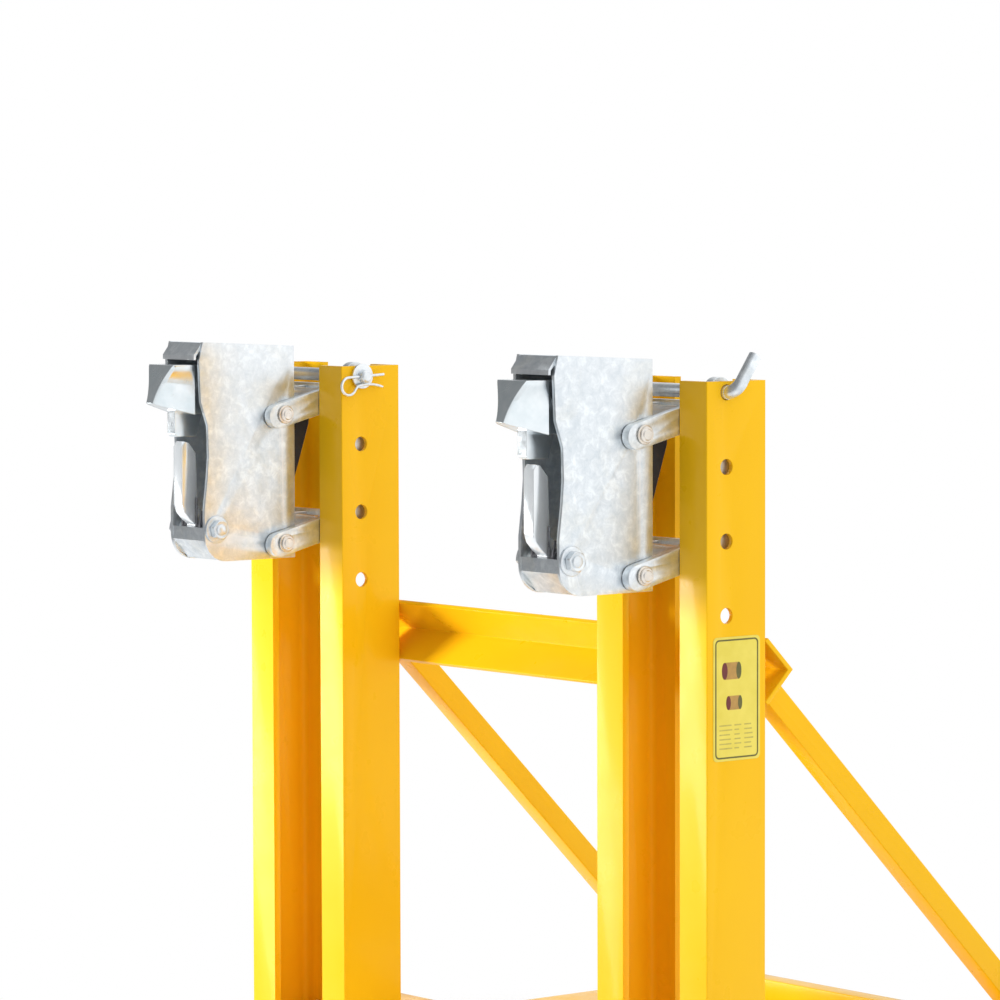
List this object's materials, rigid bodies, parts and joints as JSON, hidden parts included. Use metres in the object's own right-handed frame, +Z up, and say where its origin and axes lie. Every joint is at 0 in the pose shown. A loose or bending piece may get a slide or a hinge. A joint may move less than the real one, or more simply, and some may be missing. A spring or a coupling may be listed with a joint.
{
  "type": "forklift drum lifter",
  "caption": "Forklift attachment with twin masts; each carries a parrot-beak head on parallel links that grips a drum by its rim.",
  "frame": {"origin": "on the floor under the middle of the footprint", "axes": "+X across the two masts, +Y towards the truck, away from the drums, +Z up the masts"},
  "size_m": [0.91, 0.8562, 0.8558],
  "materials": {
    "yellow_powder_coat": "gloss",
    "zinc_plate": "satin",
    "yellow_zinc": "satin",
    "forged_steel": "satin",
    "spring_steel": "satin",
    "black_rubber": "matte",
    "label_foil": "satin"
  },
  "bodies": {
    "frame": {"left_mast": "yellow_powder_coat", "right_mast": "yellow_powder_coat", "upper_crossbar": "yellow_powder_coat", "lower_crossbar": "yellow_powder_coat", "rear_crossbar": "yellow_powder_coat", "left_brace": "yellow_powder_coat", "right_brace": "yellow_powder_coat", "left_fork_sleeve": "yellow_powder_coat", "right_fork_sleeve": "yellow_powder_coat", "left_rest_arm": "yellow_powder_coat", "right_rest_arm": "yellow_powder_coat", "left_drum_saddle": "yellow_powder_coat", "right_drum_saddle": "yellow_powder_coat", "left_rubber_pad": "black_rubber", "right_rubber_pad": "black_rubber", "pad_nuts": "yellow_zinc", "mast_bolts": "yellow_zinc", "label_plate": "label_foil", "left_carriage": "zinc_plate", "right_carriage": "zinc_plate", "left_carriage_pivots": "yellow_zinc", "right_carriage_pivots": "yellow_zinc"},
    "left_upper_link_body": {"left_upper_links": "zinc_plate"},
    "left_lower_link_body": {"left_lower_links": "zinc_plate"},
    "left_head": {"left_head_housing": "zinc_plate", "left_link_pins": "yellow_zinc", "left_beak": "forged_steel", "left_beak_pins": "zinc_plate", "left_jaw_bolt": "zinc_plate", "left_jaw_spring": "spring_steel", "left_buffer": "black_rubber"},
    "left_jaw": {"left_lower_jaw": "zinc_plate"},
    "left_lock": {"left_lock_pin": "zinc_plate"},
    "left_clip": {"left_r_clip": "zinc_plate"},
    "left_clamp_foot_body": {"left_clamp_foot": "yellow_zinc"},
    "left_clamp_spindle": {"left_clamp_screw": "yellow_zinc", "left_clamp_bar": "yellow_zinc"},
    "right_upper_link_body": {"right_upper_links": "zinc_plate"},
    "right_lower_link_body": {"right_lower_links": "zinc_plate"},
    "right_head": {"right_head_housing": "zinc_plate", "right_link_pins": "yellow_zinc", "right_beak": "forged_steel", "right_beak_pins": "zinc_plate", "right_jaw_bolt": "zinc_plate", "right_jaw_spring": "spring_steel", "right_buffer": "black_rubber"},
    "right_jaw": {"right_lower_jaw": "zinc_plate"},
    "right_lock": {"right_lock_pin": "zinc_plate"},
    "right_clip": {"right_r_clip": "zinc_plate"},
    "right_clamp_foot_body": {"right_clamp_foot": "yellow_zinc"},
    "right_clamp_spindle": {"right_clamp_screw": "yellow_zinc", "right_clamp_bar": "yellow_zinc"}
  },
  "joints": [
    {"name": "left_head_lift", "type": "hinge", "parent": "frame", "child": "left_upper_link_body", "pos_m": [-0.3, -0.20294, 0.791], "axis": [-1, 0, 0], "range_deg": [0, 28]},
    {"name": "left_lower_link_swing", "type": "hinge", "parent": "frame", "child": "left_lower_link_body", "pos_m": [-0.3, -0.20294, 0.651], "axis": [-1, 0, 0], "range_deg": [0, 28]},
    {"name": "left_head_pivot", "type": "hinge", "parent": "left_upper_link_body", "child": "left_head", "pos_m": [-0.3, -0.26694, 0.775], "axis": [-1, 0, 0], "range_deg": [-28, 0]},
    {"name": "left_jaw_open", "type": "hinge", "parent": "left_head", "child": "left_jaw", "pos_m": [-0.3, -0.35194, 0.653], "axis": [-1, 0, 0], "range_deg": [0, 11.2]},
    {"name": "left_lock_turn", "type": "hinge", "parent": "frame", "child": "left_lock", "pos_m": [-0.3, -0.19594, 0.816], "axis": [1, 0, 0], "range_deg": [-55, 125]},
    {"name": "left_clip_pull", "type": "slide", "parent": "left_lock", "child": "left_clip", "axis": [0, -0.9986, -0.0523], "range_m": [0, 0.04]},
    {"name": "left_clamp_press", "type": "slide", "parent": "frame", "child": "left_clamp_foot_body", "axis": [1, 0, 0], "range_m": [0, 0.02]},
    {"name": "left_clamp_turn", "type": "hinge", "parent": "left_clamp_foot_body", "child": "left_clamp_spindle", "pos_m": [-0.385, 0.33806, 0.035], "axis": [1, 0, 0], "range_deg": [0, 3600]},
    {"name": "right_head_lift", "type": "hinge", "parent": "frame", "child": "right_upper_link_body", "pos_m": [0.3, -0.20294, 0.791], "axis": [-1, 0, 0], "range_deg": [0, 28]},
    {"name": "right_lower_link_swing", "type": "hinge", "parent": "frame", "child": "right_lower_link_body", "pos_m": [0.3, -0.20294, 0.651], "axis": [-1, 0, 0], "range_deg": [0, 28]},
    {"name": "right_head_pivot", "type": "hinge", "parent": "right_upper_link_body", "child": "right_head", "pos_m": [0.3, -0.26694, 0.775], "axis": [-1, 0, 0], "range_deg": [-28, 0]},
    {"name": "right_jaw_open", "type": "hinge", "parent": "right_head", "child": "right_jaw", "pos_m": [0.3, -0.35194, 0.653], "axis": [-1, 0, 0], "range_deg": [0, 11.2]},
    {"name": "right_lock_turn", "type": "hinge", "parent": "frame", "child": "right_lock", "pos_m": [0.3, -0.19594, 0.816], "axis": [1, 0, 0], "range_deg": [-145, 35]},
    {"name": "right_clip_pull", "type": "slide", "parent": "right_lock", "child": "right_clip", "axis": [0, -0.9986, -0.0523], "range_m": [0, 0.04]},
    {"name": "right_clamp_press", "type": "slide", "parent": "frame", "child": "right_clamp_foot_body", "axis": [-1, 0, 0], "range_m": [0, 0.02]},
    {"name": "right_clamp_turn", "type": "hinge", "parent": "right_clamp_foot_body", "child": "right_clamp_spindle", "pos_m": [0.385, 0.33806, 0.035], "axis": [-1, 0, 0], "range_deg": [0, 3600]}
  ],
  "couplings": [
    {"joint": "left_lower_link_swing", "follows": "left_head_lift", "ratio": 1},
    {"joint": "left_head_pivot", "follows": "left_head_lift", "ratio": -1},
    {"joint": "left_jaw_open", "follows": "left_head_lift", "ratio": 0.4},
    {"joint": "left_clamp_press", "follows": "left_clamp_turn", "m_per_rad": 0.00031831},
    {"joint": "right_lower_link_swing", "follows": "right_head_lift", "ratio": 1},
    {"joint": "right_head_pivot", "follows": "right_head_lift", "ratio": -1},
    {"joint": "right_jaw_open", "follows": "right_head_lift", "ratio": 0.4},
    {"joint": "right_clamp_press", "follows": "right_clamp_turn", "m_per_rad": 0.00031831}
  ]
}
